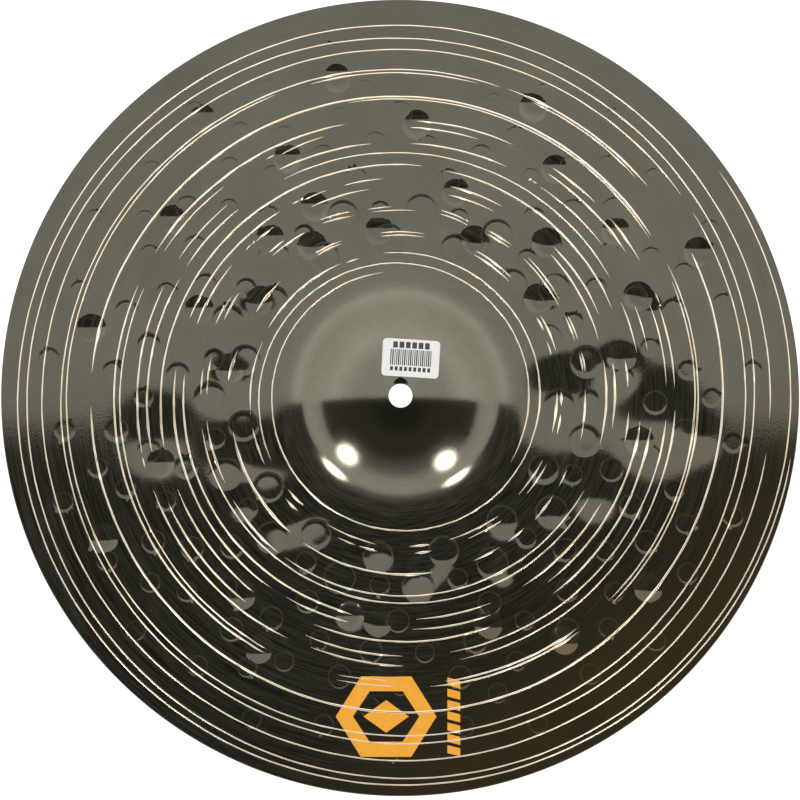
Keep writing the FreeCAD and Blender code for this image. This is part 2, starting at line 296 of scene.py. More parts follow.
def groove_lines():
    """Each groove as its points: centre (x, y), direction across it, and half its width."""
    runs = list(SPIRALS)
    runs += [(width, [(a0, r0), (a1, r1)]) for width, a0, a1, r0, r1 in SHORT_RUNS]
    lines = []
    for width, knots in runs:
        angles = [angle for angle, radius in knots]
        radii = [radius for angle, radius in knots]
        length = math.radians(angles[-1] - angles[0]) * sum(radii) / len(radii)
        count = max(6, round(length / GROOVE_STEP))
        share = np.linspace(0, 1, count)
        turn = angles[0] + share * (angles[-1] - angles[0])
        phase = JITTER.uniform(0, 2 * math.pi)
        wander = np.sin(turn * 0.31 + phase) + 0.6 * np.sin(turn * 0.83 + 2 * phase)
        radius = np.interp(turn, angles, radii) + GROOVE_WANDER * wander
        theta = np.radians(turn)
        across = np.stack([-np.cos(theta), np.sin(theta)], axis=1)
        centre = across * radius[:, None]
        from_end = np.minimum(share, 1 - share) * length
        ease = np.clip(from_end / min(GROOVE_END, length / 2), 0, 1) ** 0.75
        proud = hammering(centre)[0]
        half = width / 2 * ease * (0.82 + GROOVE_ON_MARK * np.minimum(proud, 1.6))
        half = np.minimum(half * (1 + 0.08 * np.sin(turn * 1.1 + 3 * phase)), WIDEST / 2)
        lines.append((centre, across, half))
    return lines


GROOVES = groove_lines()
GROOVE_CENTRES = np.concatenate([line[0] for line in GROOVES])
GROOVE_ACROSS = np.concatenate([line[1] for line in GROOVES])
GROOVE_HALVES = np.concatenate([line[2] for line in GROOVES])


def tree_of(points):
    """A search tree of points in the plane."""
    tree = kdtree.KDTree(len(points))
    for index, (x, y) in enumerate(points):
        tree.insert((x, y, 0), index)
    tree.balance()
    return tree


GROOVE_TREE = tree_of(GROOVE_CENTRES)


def across_groove(points):
    """Place of each point across its nearest groove, from -1 to 1 inside it, and half its width."""
    place = np.full(len(points), 9.0)
    half = np.zeros(len(points))
    for index, (x, y) in enumerate(points):
        best = 9.0
        for _, near, distance in GROOVE_TREE.find_n((x, y, 0), 4):
            if distance < 2.5 and GROOVE_HALVES[near] > 0.02:
                offset = (x, y) - GROOVE_CENTRES[near]
                side = float(offset @ GROOVE_ACROSS[near]) / GROOVE_HALVES[near]
                if abs(side) < abs(best):
                    best = side
                    half[index] = GROOVE_HALVES[near]
        place[index] = best
    return place, half


# ================================================================ outlines of the prints

def centre_of(node):
    low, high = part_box(node)
    return ((low.x + high.x) / 2 / MM, (low.y + high.y) / 2 / MM)


def size_of(node):
    low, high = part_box(node)
    return ((high.x - low.x) / MM, (high.y - low.y) / MM)


def stepped(corners):
    """A closed outline with points added along its sides."""
    points = []
    for start, end in zip(corners, corners[1:] + corners[:1]):
        length = math.dist(start, end)
        count = max(1, math.ceil(length / OUTLINE_STEP))
        for index in range(count):
            share = index / count
            points.append((start[0] + share * (end[0] - start[0]),
                           start[1] + share * (end[1] - start[1])))
    return points


def moved(corners, centre, turn=0.0):
    """The corners turned about the origin and then moved to a centre."""
    c = math.cos(turn)
    s = math.sin(turn)
    return [(centre[0] + x * c - y * s, centre[1] + x * s + y * c) for x, y in corners]


def hexagon(width, height):
    x = width / 2
    y = height / 2
    return [(x, 0), (x / 2, y), (-x / 2, y), (-x, 0), (-x / 2, -y), (x / 2, -y)]


def block(x, y, width, height, slant=0.0):
    w = width / 2
    h = height / 2
    s = slant / 2
    return [(x - w, y - h - s), (x + w, y - h + s), (x + w, y + h + s), (x - w, y + h - s)]


def rounded(width, height, corner):
    points = []
    for quarter, (sx, sy) in enumerate(((1, 1), (-1, 1), (-1, -1), (1, -1))):
        for step in range(5):
            turn = math.radians(90 * quarter + 22.5 * step)
            points.append((sx * (width / 2 - corner) + corner * math.cos(turn),
                           sy * (height / 2 - corner) + corner * math.sin(turn)))
    return points


EMBLEM_FRAME = 7.5
EMBLEM_CORE_GAP = 4.5
STRIP_BLOCKS = 7
STRIP_GAP = 1.7
STRIP_SLANT = 1.6
LABEL_WIDTH = 30.0
LABEL_HEIGHT = 20.0
LABEL_CORNER = 2.0
LABEL_TURN = math.radians(3.4)
INK_MARGIN = 4.0
CAPTION_MARGIN = 1.5
CAPTION_WIDTH = 20.0
CAPTION_HEIGHT = 3.3
CAPTION_BLOCKS = 6
CAPTION_GAP = 0.9
BAR_HEIGHT = 8.4
BAR_COUNT = 21
BAR_TO_PITCH = (0.4, 0.65, 0.5)
DASH_HEIGHT = 2.2
DASH_COUNT = 9
DASH_TO_PITCH = 0.62
ROW_GAP = 0.8


def emblem_outlines():
    """The six-sided frame's two outlines, and the lozenge inside it."""
    width, height = size_of("emblem_print")
    reach = math.hypot(1, width / (2 * height))
    inner_width = width - 2 * EMBLEM_FRAME * reach
    inner_height = height - 2 * EMBLEM_FRAME
    core_width = inner_width - 2 * EMBLEM_CORE_GAP * reach
    core_height = inner_height - 2 * EMBLEM_CORE_GAP
    core = [(core_width / 2, 0), (0, core_height / 2), (-core_width / 2, 0), (0, -core_height / 2)]
    shapes = (hexagon(width, height), hexagon(inner_width, inner_height), core)
    return [stepped(moved(shape, centre_of("emblem_print"))) for shape in shapes]


def strip_outlines():
    width, length = size_of("side_print")
    pitch = (length + STRIP_GAP - STRIP_SLANT) / STRIP_BLOCKS
    outlines = []
    for index in range(STRIP_BLOCKS):
        y = (index - (STRIP_BLOCKS - 1) / 2) * pitch
        shape = block(0, y, width, pitch - STRIP_GAP, STRIP_SLANT)
        outlines.append(stepped(moved(shape, centre_of("side_print"))))
    return outlines


def on_label(shape):
    return stepped(moved(shape, centre_of("bell_label"), LABEL_TURN))


def label_row(count, width, y, height, shares):
    pitch = width / count
    outlines = []
    for index in range(count):
        x = (index + 0.5) * pitch - width / 2
        outlines.append(on_label(block(x, y, pitch * shares[index % len(shares)], height)))
    return outlines


def label_outlines():
    """The label's own outline, its caption blocks, and its bars with the dashes below."""
    paper = on_label(rounded(LABEL_WIDTH, LABEL_HEIGHT, LABEL_CORNER))
    caption_y = LABEL_HEIGHT / 2 - CAPTION_MARGIN - CAPTION_HEIGHT / 2
    bar_y = caption_y - CAPTION_HEIGHT / 2 - ROW_GAP - BAR_HEIGHT / 2
    dash_y = bar_y - BAR_HEIGHT / 2 - ROW_GAP - DASH_HEIGHT / 2
    bars_width = LABEL_WIDTH - 2 * INK_MARGIN
    caption_share = 1 - CAPTION_GAP * CAPTION_BLOCKS / CAPTION_WIDTH
    caption = label_row(CAPTION_BLOCKS, CAPTION_WIDTH, caption_y, CAPTION_HEIGHT, (caption_share,))
    bars = label_row(BAR_COUNT, bars_width, bar_y, BAR_HEIGHT, BAR_TO_PITCH)
    dashes = label_row(DASH_COUNT, bars_width, dash_y, DASH_HEIGHT, (DASH_TO_PITCH,))
    return paper, caption, bars + dashes


EMBLEM = emblem_outlines()
STRIP = strip_outlines()
LABEL, LABEL_CAPTION, LABEL_BARS = label_outlines()


def inside(points, outline):
    """Which points lie inside a closed outline."""
    x = points[:, 0]
    y = points[:, 1]
    within = np.zeros(len(points), dtype=bool)
    for (x0, y0), (x1, y1) in zip(outline, outline[1:] + outline[:1]):
        if y0 != y1:
            crosses = (y0 > y) != (y1 > y)
            within ^= crosses & (x < (x1 - x0) * (y - y0) / (y1 - y0) + x0)
    return within


def inside_any(points, outlines):
    within = np.zeros(len(points), dtype=bool)
    for outline in outlines:
        within |= inside(points, outline)
    return within


# ================================================================ one flat triangulation

def circle(radius, count, first=0.0):
    """Points evenly spaced round a circle about the origin."""
    turns = [2 * math.pi * (index + first) / count for index in range(count)]
    return [(radius * math.cos(turn), radius * math.sin(turn)) for turn in turns]


def flat_mesh():
    """Triangles of the whole plate seen from above, with an edge along every groove and print."""
    points = []
    edges = []

    def add_line(line, closed=False):
        start = len(points)
        points.extend(line)
        edges.extend((start + index, start + index + 1) for index in range(len(line) - 1))
        if closed:
            edges.append((start + len(line) - 1, start))

    for centre, across, half in GROOVES:
        for side in (-1, 0, 1):
            add_line([tuple(p) for p in centre + across * half[:, None] * side])
    for outline in EMBLEM + STRIP + [LABEL] + LABEL_CAPTION + LABEL_BARS:
        add_line(outline, closed=True)
    firm = tree_of(points)
    add_line(circle(HOLE_RADIUS, HOLE_POINTS), closed=True)
    add_line(circle(EDGE_RADIUS, RIM_POINTS), closed=True)

    fill = []
    for x, y, reach, deep, flatness in MARKS:
        for share in MARK_SHARES:
            count = max(1, round(2 * math.pi * share * reach / 1.5))
            fill += [(x + px, y + py) for px, py in circle(share * reach, count, 0.5 * share)]
    mark_tree = tree_of(fill)
    radius = HOLE_RADIUS + GRID_STEP * 0.8
    row = 0
    while radius < EDGE_RADIUS - GRID_STEP * 0.6:
        count = round(2 * math.pi * radius / GRID_STEP)
        for point in circle(radius, count, 0.5 * (row % 2)):
            if mark_tree.find((*point, 0))[2] > 0.62 * GRID_STEP:
                fill.append(point)
        radius += GRID_STEP * 0.87
        row += 1
    for point in fill:
        if firm.find((*point, 0))[2] > CLEAR_STEP:
            points.append(point)

    vectors = [Vector(point) for point in points]
    result = delaunay_2d_cdt(vectors, edges, [], 0, 1e-4, False)
    places = np.array([tuple(v) for v in result[0]])
    triangles = np.array(result[2])
    middles = places[triangles].mean(axis=1)
    keep = np.hypot(middles[:, 0], middles[:, 1]) > HOLE_RADIUS * math.cos(math.pi / HOLE_POINTS)
    corners = places[triangles]
    ab = corners[:, 1] - corners[:, 0]
    ac = corners[:, 2] - corners[:, 0]
    area = ab[:, 0] * ac[:, 1] - ab[:, 1] * ac[:, 0]
    keep &= np.abs(area) > 1e-7
    flip = area < 0
    triangles[flip] = triangles[flip][:, ::-1]
    return places, triangles[keep]


PLACES, TRIANGLES = flat_mesh()
MIDDLES = PLACES[TRIANGLES].mean(axis=1)
IN_GROOVE = np.abs(across_groove(MIDDLES)[0]) < 1.0


def surface_of(places):
    """Heights of the underside, its upward normals, the smooth normals and the wall."""
    radius = np.hypot(places[:, 0], places[:, 1])
    height, steep = underside(radius)
    outward = places / radius[:, None]
    driven, slope = hammering(places)
    smooth = np.column_stack([-outward * steep[:, None], np.ones(len(places))])
    normal = smooth.copy()
    normal[:, :2] += slope
    smooth /= np.linalg.norm(smooth, axis=1)[:, None]
    normal /= np.linalg.norm(normal, axis=1)[:, None]
    return height, driven, smooth, normal, wall(radius)


HEIGHT, DRIVEN, SMOOTH, NORMAL, WALL = surface_of(PLACES)
PLACE_ACROSS, HALF_WIDTH = across_groove(PLACES)
CUT = np.where(np.abs(PLACE_ACROSS) < 1,
               GROOVE_SLOPE * HALF_WIDTH / 2 * (1 - np.minimum(np.abs(PLACE_ACROSS), 1) ** 2), 0)


# ================================================================ building meshes

def set_normals(mesh, normals):
    """Gives each corner of the mesh its own normal."""
    mesh.shade_smooth()
    mesh.normals_split_custom_set([tuple(normal) for normal in normals])


def new_piece(name, places, faces, normals, materials, face_material=None):
    mesh = bpy.data.meshes.new(name)
    mesh.from_pydata((places * MM).tolist(), [], [list(face) for face in faces])
    for material in materials:
        mesh.materials.append(material)
    if face_material is not None:
        mesh.polygons.foreach_set("material_index", face_material)
    set_normals(mesh, normals)
    piece = bpy.data.objects.new(name, mesh)
    bpy.context.scene.collection.objects.link(piece)
    return piece


def ring_order(radius):
    """Indices of the points on a circle, in order round it."""
    found = np.where(np.abs(np.hypot(PLACES[:, 0], PLACES[:, 1]) - radius) < 0.002)[0]
    turns = np.arctan2(PLACES[found, 1], PLACES[found, 0])
    return found[np.argsort(turns)]


def groove_tilt(side):
    """Normals at the triangles' corners, tilted across each groove to make it round."""
    normals = NORMAL[TRIANGLES].copy()
    place = np.clip(PLACE_ACROSS[TRIANGLES], -1, 1)
    outward = PLACES / np.hypot(PLACES[:, 0], PLACES[:, 1])[:, None]
    tilt = np.where(IN_GROOVE[:, None], side * place * GROOVE_SLOPE, 0)
    normals[:, :, :2] += outward[TRIANGLES] * tilt[:, :, None]
    return normals / np.linalg.norm(normals, axis=2)[:, :, None]


def on_mark_edge(points):
    """True for the points on the rubbed edge of a hammer mark."""
    found = np.zeros(len(points), dtype=bool)
    for x, y, reach, _, flatness in MARKS:
        if flatness > 2:
            share = np.hypot(points[:, 0] - x, points[:, 1] - y) / reach
            found |= (share > 0.93) & (share < 1.02)
    return found


def make_plate(coat, bronze, rim_coat, rubbed_coat):
    """The plate as one closed mesh: underside, top, rounded rim and the wall of the hole."""
    count = len(PLACES)
    low = np.column_stack([PLACES, HEIGHT - DRIVEN + CUT])
    high = np.column_stack([PLACES, HEIGHT]) + SMOOTH * WALL[:, None]
    high[:, 2] -= DRIVEN + CUT
    places = [low, high]
    faces = [tuple(t) for t in TRIANGLES[:, ::-1]] + [tuple(t) for t in TRIANGLES + count]
    under_normals = -groove_tilt(1)[:, ::-1]
    top_normals = groove_tilt(-1)
    normals = [under_normals.reshape(-1, 3), top_normals.reshape(-1, 3)]
    materials = list(np.where(IN_GROOVE, 1, np.where(on_mark_edge(MIDDLES), 3, 0))) * 2

    rim = ring_order(EDGE_RADIUS)
    around = PLACES[rim] / EDGE_RADIUS
    centre_r = RIM_RADIUS - RIM_ROUND
    rows = [list(rim)]
    row_normals = []
    for step in range(RIM_ROWS + 1):
        turn = RIM_ANGLE + math.pi * (1 - step / RIM_ROWS)
        row_normals.append(np.column_stack([around * math.sin(turn),
                                            np.full(len(rim), math.cos(turn))]))
        if 0 < step < RIM_ROWS:
            start = sum(len(block_) for block_ in places)
            offset = centre_r + RIM_ROUND * math.sin(turn)
            height = RIM_ROUND + RIM_ROUND * math.cos(turn)
            places.append(np.column_stack([around * offset, np.full(len(rim), height)]))
            rows.append(list(range(start, start + len(rim))))
    rows.append(list(rim + count))
    for index in range(RIM_ROWS):
        for here in range(len(rim)):
            after = (here + 1) % len(rim)
            faces.append((rows[index][here], rows[index][after],
                          rows[index + 1][after], rows[index + 1][here]))
            materials.append(2)
            normals.append(np.array([row_normals[index][here], row_normals[index][after],
                                     row_normals[index + 1][after], row_normals[index + 1][here]]))

    hole = ring_order(HOLE_RADIUS)
    inward = np.column_stack([-PLACES[hole] / HOLE_RADIUS, np.zeros(len(hole))])
    for here in range(len(hole)):
        after = (here + 1) % len(hole)
        faces.append((hole[after], hole[here], hole[here] + count, hole[after] + count))
        materials.append(1)
        normals.append(inward[[after, here, here, after]])
    return new_piece("plate", np.concatenate(places), faces, np.concatenate(normals),
                     [coat, bronze, rim_coat, rubbed_coat], materials)


def make_layer(name, chosen, near, far, material):
    """A thin closed sheet under the chosen triangles, between two depths below the plate."""
    triangles = TRIANGLES[chosen]
    used, corners = np.unique(triangles, return_inverse=True)
    corners = corners.reshape(-1, 3)
    count = len(used)
    base = np.column_stack([PLACES[used], (HEIGHT - DRIVEN)[used]])
    down = -NORMAL[used]
    places = np.concatenate([base + down * near, base + down * far])
    faces = [tuple(t) for t in corners] + [tuple(t) for t in corners[:, ::-1] + count]
    upward = -down[corners]
    normals = [upward.reshape(-1, 3), -upward[:, ::-1].reshape(-1, 3)]
    sides = {}
    for a, b, c in corners:
        for start, end in ((a, b), (b, c), (c, a)):
            if (end, start) in sides:
                del sides[(end, start)]
            else:
                sides[(start, end)] = True
    for start, end in sides:
        faces.append((start, start + count, end + count, end))
        run = places[end] - places[start]
        out = np.array([run[1], -run[0], 0.0])
        out /= max(np.linalg.norm(out), 1e-9)
        normals.append(np.tile(out, (4, 1)))
    return new_piece(name, places, faces, np.concatenate(normals), [material])


# ================================================================ materials

def new_material(name):
    """A new material, its node tree and its shader."""
    material = bpy.data.materials.new(name)
    material.use_nodes = True
    tree = material.node_tree
    return material, tree, tree.nodes["Principled BSDF"]


def math_node(tree, operation, a, b=None, c=None):
    node = tree.nodes.new("ShaderNodeMath")
    node.operation = operation
    for socket, value in zip(node.inputs, (a, b, c)):
        if value is None:
            continue
        if isinstance(value, (int, float)):
            socket.default_value = value
        else:
            tree.links.new(value, socket)
    return node.outputs[0]


def noise_node(tree, vector, scale, detail=2.0, roughness=0.5):
    node = tree.nodes.new("ShaderNodeTexNoise")
    node.inputs["Scale"].default_value = scale
    node.inputs["Detail"].default_value = detail
    node.inputs["Roughness"].default_value = roughness
    tree.links.new(vector, node.inputs["Vector"])
    return node.outputs["Fac"]


def ramp_node(tree, value, stops):
    node = tree.nodes.new("ShaderNodeValToRGB")
    ramp = node.color_ramp
    while len(ramp.elements) < len(stops):
        ramp.elements.new(0.5)
    for element, (position, colour) in zip(ramp.elements, stops):
        element.position = position
        element.color = (*colour, 1)
    tree.links.new(value, node.inputs["Fac"])
    return node.outputs["Color"]


def range_node(tree, value, low, high):
    """A value from 0 to 1 spread over a range."""
    node = tree.nodes.new("ShaderNodeMapRange")
    node.inputs["To Min"].default_value = low
    node.inputs["To Max"].default_value = high
    tree.links.new(value, node.inputs["Value"])
    return node.outputs["Result"]


def smooth_step(tree, value, low, high):
    """A smooth step from 0 at low to 1 at high."""
    node = tree.nodes.new("ShaderNodeMapRange")
    node.interpolation_type = "SMOOTHSTEP"
    node.inputs["From Min"].default_value = low
    node.inputs["From Max"].default_value = high
    tree.links.new(value, node.inputs["Value"])
    return node.outputs["Result"]


def place_nodes(tree):
    """The object's own coordinates: the vector and its x, y and z."""
    place = tree.nodes.new("ShaderNodeTexCoord").outputs["Object"]
    split = tree.nodes.new("ShaderNodeSeparateXYZ")
    tree.links.new(place, split.inputs[0])
    return place, split.outputs


def combine(tree, x, y, z):
    """A vector of three values, each a number or a socket."""
    node = tree.nodes.new("ShaderNodeCombineXYZ")
    for socket, value in zip(node.inputs, (x, y, z)):
        if isinstance(value, (int, float)):
            socket.default_value = value
        else:
            tree.links.new(value, socket)
    return node.outputs[0]


def brushed_place(tree, per_metre, round_share):
    """Coordinates that are stretched round the axis, for marks left by turning on a lathe."""
    place, (x, y, z) = place_nodes(tree)
    square = math_node(tree, "ADD", math_node(tree, "MULTIPLY", x, x),
                       math_node(tree, "MULTIPLY", y, y))
    radius = math_node(tree, "SQRT", square)
    along = combine(tree, math_node(tree, "MULTIPLY", radius, per_metre),
                    math_node(tree, "MULTIPLY", math_node(tree, "DIVIDE", x, radius), round_share),
                    math_node(tree, "MULTIPLY", math_node(tree, "DIVIDE", y, radius), round_share))
    return place, along, radius


def bump_node(tree, height, distance, strength=1.0):
    node = tree.nodes.new("ShaderNodeBump")
    node.inputs["Distance"].default_value = distance
    node.inputs["Strength"].default_value = strength
    tree.links.new(height, node.inputs["Height"])
    return node.outputs["Normal"]


PAINTED_SHEEN_TURN = 305            # the side of the plate where a warm sheen is painted into the colour, standing for a reflection of the lamps, in degrees
PAINTED_SHEEN_TINT = (1.12, 0.88, 0.52)   # what the painted sheen does to the bronze's red, green and blue


def painted_sheen_side(tree, place):
    """How far a point lies towards the side of the rim that carries the painted sheen, a warm
    reflection of the lamps.
    """
    parts = tree.nodes.new("ShaderNodeVectorMath")
    parts.operation = "DOT_PRODUCT"
    tree.links.new(place, parts.inputs[0])
    parts.inputs[1].default_value = (*below(PAINTED_SHEEN_TURN, 1.0), 0.0)
    return smooth_step(tree, parts.outputs["Value"], 0.085, 0.185)


def dark_bronze(name, low_roughness, high_roughness, clean=1.0, oxide_and_sheen_metallic=0.79):
    """Bronze with a dark glossy finish, brushed in fine rings and rougher inside the bell.

    It is as metallic as clean says where it is clean, and as its last argument says where it
    carries oxide or the painted sheen. The painted sheen is a reflection of the lamps painted into
    the colour, which tints one side of the rim brown.
    """
    material, tree, shader = new_material(name)
    place, ringed, radius = brushed_place(tree, 1400.0, 9.0)
    streaks = noise_node(tree, ringed, 1.0, 3.0, 0.6)
    clouds = noise_node(tree, place, 22.0, 4.0, 0.6)
    tone = math_node(tree, "ADD", math_node(tree, "MULTIPLY", streaks, 0.45),
                     math_node(tree, "MULTIPLY", clouds, 0.55))
    colour = ramp_node(tree, tone, [(0.3, (0.100, 0.094, 0.074)), (0.7, (0.130, 0.122, 0.098))])
    in_bell = smooth_step(tree, radius, 0.070, 0.050)
    shine = tree.nodes.new("ShaderNodeVectorMath")
    shine.operation = "SCALE"
    tree.links.new(colour, shine.inputs[0])
    tree.links.new(range_node(tree, in_bell, 1.0, 1.42), shine.inputs["Scale"])
    # Painted sheen: a warm brown reflection of the lamps, painted into the colour on one side of
    # the rim.
    painted_sheen = math_node(tree, "MULTIPLY", painted_sheen_side(tree, place),
                        range_node(tree, clouds, 0.6, 1.0))
    shaded = tree.nodes.new("ShaderNodeVectorMath")
    shaded.operation = "MULTIPLY"
    tree.links.new(shine.outputs[0], shaded.inputs[0])
    tree.links.new(ramp_node(tree, painted_sheen, [(0.0, (1.0, 1.0, 0.975)), (1.0, PAINTED_SHEEN_TINT)]),
                   shaded.inputs[1])
    tree.links.new(shaded.outputs[0], shader.inputs["Base Color"])
    roughness = math_node(tree, "ADD", range_node(tree, streaks, low_roughness, high_roughness),
                          math_node(tree, "MULTIPLY", in_bell, 0.04))
    tree.links.new(roughness, shader.inputs["Roughness"])
    grain = noise_node(tree, place, 900.0, 2.0, 0.5)
    rough = math_node(tree, "ADD", math_node(tree, "MULTIPLY", streaks, 0.6), grain)
    tree.links.new(bump_node(tree, rough, 0.00001), shader.inputs["Normal"])
    _, arcs, _ = brushed_place(tree, 900.0, 5.0)
    worn = noise_node(tree, arcs, 1.0, 4.0, 0.7)
    bell_clear = smooth_step(tree, radius, 0.048, 0.062)
    oxide_and_sheen = math_node(tree, "MULTIPLY", smooth_step(tree, worn, 0.3, 0.72), bell_clear)
    # The painted sheen also makes that side less metallic, so its brown shows as diffuse colour.
    oxide_and_sheen = math_node(tree, "MAXIMUM", oxide_and_sheen, painted_sheen)
    tree.links.new(range_node(tree, oxide_and_sheen, clean, oxide_and_sheen_metallic), shader.inputs["Metallic"])
    return material


def raw_bronze():
    """The bare bronze that the lathe tool leaves in its grooves."""
    material, tree, shader = new_material("raw_bronze")
    place, ringed, _ = brushed_place(tree, 2500.0, 12.0)
    cuts = noise_node(tree, ringed, 1.0, 2.0)
    clouds = noise_node(tree, place, 60.0, 2.0)
    colour = ramp_node(tree, clouds, [(0.35, (0.98, 0.82, 0.60)), (0.65, (1.0, 0.91, 0.75))])
    tree.links.new(colour, shader.inputs["Base Color"])
    tree.links.new(range_node(tree, cuts, 0.26, 0.36), shader.inputs["Roughness"])
    tree.links.new(bump_node(tree, clouds, 0.00002), shader.inputs["Normal"])
    shader.inputs["Metallic"].default_value = 1.0
    return material


def printed_ink(name, dark, light, roughness):
    """Screen-printed ink: faintly mottled, and a little uneven."""
    material, tree, shader = new_material(name)
    place, _ = place_nodes(tree)
    mottle = noise_node(tree, place, 420.0, 4.0, 0.65)
    tree.links.new(ramp_node(tree, mottle, [(0.3, dark), (0.7, light)]),
                   shader.inputs["Base Color"])
    tree.links.new(range_node(tree, mottle, roughness - 0.06, roughness + 0.06),
                   shader.inputs["Roughness"])
    tree.links.new(bump_node(tree, mottle, 0.00002), shader.inputs["Normal"])
    return material


def label_paper():
    """Coated white paper with a faint fibre."""
    material, tree, shader = new_material("label_paper")
    place, _ = place_nodes(tree)
    fibre = noise_node(tree, place, 2600.0, 5.0, 0.7)
    tree.links.new(ramp_node(tree, fibre, [(0.3, (0.82, 0.815, 0.79)), (0.7, (0.88, 0.875, 0.85))]),
                   shader.inputs["Base Color"])
    tree.links.new(range_node(tree, fibre, 0.5, 0.68), shader.inputs["Roughness"])
    tree.links.new(bump_node(tree, fibre, 0.00002), shader.inputs["Normal"])
    return material


# ================================================================ the pieces

COAT = dark_bronze("dark_bronze", 0.05, 0.11)
RIM = dark_bronze("rim_bronze", 0.45, 0.6)
RUBBED = dark_bronze("rubbed_bronze", 0.2, 0.3, 0.82, 0.76)
BRONZE = raw_bronze()
GOLD_INK = printed_ink("gold_ink", (0.78, 0.34, 0.024), (0.85, 0.385, 0.034), 0.45)
BLACK_INK = printed_ink("black_ink", (0.03, 0.03, 0.032), (0.05, 0.05, 0.055), 0.5)
PAPER = label_paper()

plate = make_plate(COAT, BRONZE, RIM, RUBBED)
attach(plate, BODY)
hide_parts("cymbal_plate")

ON_PLATE = ~IN_GROOVE
EMBLEM_OUTER, EMBLEM_INNER, EMBLEM_CORE = EMBLEM
IN_EMBLEM = inside(MIDDLES, EMBLEM_OUTER) & ~inside(MIDDLES, EMBLEM_INNER)
IN_EMBLEM |= inside(MIDDLES, EMBLEM_CORE)
PAPER_UNDER = PAPER_THICKNESS + LAYER_GAP
PRINTS = [
    ("emblem", "emblem_print", IN_EMBLEM & ON_PLATE, LAYER_GAP, INK_THICKNESS, GOLD_INK,
     "mark_ink"),
    ("side_blocks", "side_print", inside_any(MIDDLES, STRIP) & ON_PLATE, LAYER_GAP,
     INK_THICKNESS, GOLD_INK, "mark_ink"),
    ("label", "bell_label", inside(MIDDLES, LABEL), LAYER_GAP, PAPER_THICKNESS, PAPER,
     "label_paper"),
    ("label_caption", "label_caption_print", inside_any(MIDDLES, LABEL_CAPTION), PAPER_UNDER,
     PAPER_THICKNESS + INK_THICKNESS, BLACK_INK, "label_ink"),
    ("label_bars", "label_bar_print", inside_any(MIDDLES, LABEL_BARS), PAPER_UNDER,
     PAPER_THICKNESS + INK_THICKNESS, BLACK_INK, "label_ink"),
]
for name, node, chosen, near, far, material, slot in PRINTS:
    layer = make_layer(name, chosen, near, far, material)
    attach(layer, BODY)
    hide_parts(node)


# ================================================================ floor, lights and camera

FLOOR_HALF = 6.0
FLOOR_GAP = 0.0006          # below the rim, in metres


def make_floor():
    """A pale floor that is clear from below, so that the underside can be looked at.

    It is left out of the light that reaches the plate, and it takes no shadow of it.
    """
    corners = [(-1, -1), (1, -1), (1, 1), (-1, 1)]
    mesh = bpy.data.meshes.new("floor")
    mesh.from_pydata([(x * FLOOR_HALF, y * FLOOR_HALF, -FLOOR_GAP) for x, y in corners], [],
                     [(0, 1, 2, 3)])
    material, tree, shader = new_material("floor")
    place, _ = place_nodes(tree)
    grain = noise_node(tree, place, 3.0, 3.0)
    tree.links.new(ramp_node(tree, grain, [(0.3, (0.70, 0.70, 0.69)), (0.7, (0.74, 0.74, 0.73))]),
                   shader.inputs["Base Color"])
    shader.inputs["Roughness"].default_value = 0.9
    clear = tree.nodes.new("ShaderNodeBsdfTransparent")
    side = tree.nodes.new("ShaderNodeNewGeometry").outputs["Backfacing"]
    mix = tree.nodes.new("ShaderNodeMixShader")
    tree.links.new(side, mix.inputs[0])
    tree.links.new(shader.outputs[0], mix.inputs[1])
    tree.links.new(clear.outputs[0], mix.inputs[2])
    tree.links.new(mix.outputs[0], tree.nodes["Material Output"].inputs["Surface"])
    mesh.materials.append(material)
    floor = bpy.data.objects.new("floor", mesh)
    bpy.context.scene.collection.objects.link(floor)
    floor.visible_diffuse = False
    floor.visible_glossy = False
    floor.visible_shadow = False
    return floor


def towards(off_axis, turn):
    """A direction from the plate to below it, tilted off its axis and turned as seen from below."""
    tilt = math.radians(off_axis)
    x, y = below(turn, 1.0)
    return Vector((x * math.sin(tilt), y * math.sin(tilt), -math.cos(tilt)))


def area_lamp(name, place, width, height, watts, colour=(1, 1, 1)):
    """A round lamp that faces the origin and is brightest in its middle."""
    data = bpy.data.lights.new(name, "AREA")
    data.shape = "ELLIPSE"
    data.size = width
    data.size_y = height
    data.energy = watts
    data.color = colour
    data.use_nodes = True
    tree = data.node_tree
    spot = tree.nodes.new("ShaderNodeNewGeometry").outputs["Parametric"]
    away = tree.nodes.new("ShaderNodeVectorMath")
    away.operation = "DISTANCE"
    away.inputs[1].default_value = (0.5, 0.5, 0.0)
    tree.links.new(spot, away.inputs[0])
    tree.links.new(smooth_step(tree, away.outputs["Value"], 0.5, 0.02),
                   tree.nodes["Emission"].inputs["Strength"])
    lamp = bpy.data.objects.new(name, data)
    lamp.location = place
    lamp.rotation_mode = "QUATERNION"
    lamp.rotation_quaternion = Vector(place).to_track_quat("Z", "Y")
    bpy.context.scene.collection.objects.link(lamp)
    return lamp


ROOM_SPLIT = -0.0427        # slope at which the pale end of the room meets its dark end
ROOM_SPLIT_BLUR = 0.006
ROOM_LIGHT = 1.2
WARM_DARK = 0.013           # how much less blue than red the dark end is
# Brightness of the room below the plate, by the cosine of the angle off its axis
DARK_END = [(0.24, 1.1), (0.46, 0.95), (0.574, 0.40), (0.74, 0.11), (0.88, 0.095), (0.96, 0.05)]
DARK_SIDES = [(0.24, 1.15), (0.44, 0.9), (0.475, 0.75), (0.50, 0.12), (0.90, 0.08), (0.96, 0.05)]
PALE_END = [(0.24, 1.12), (0.45, 1.2), (0.63, 1.38), (0.82, 1.0), (0.90, 0.95), (1.0, 1.05)]
ROOM_TOP = [(0.0, 0.86), (0.3, 0.50), (0.75, 0.36), (0.93, 1.0)]


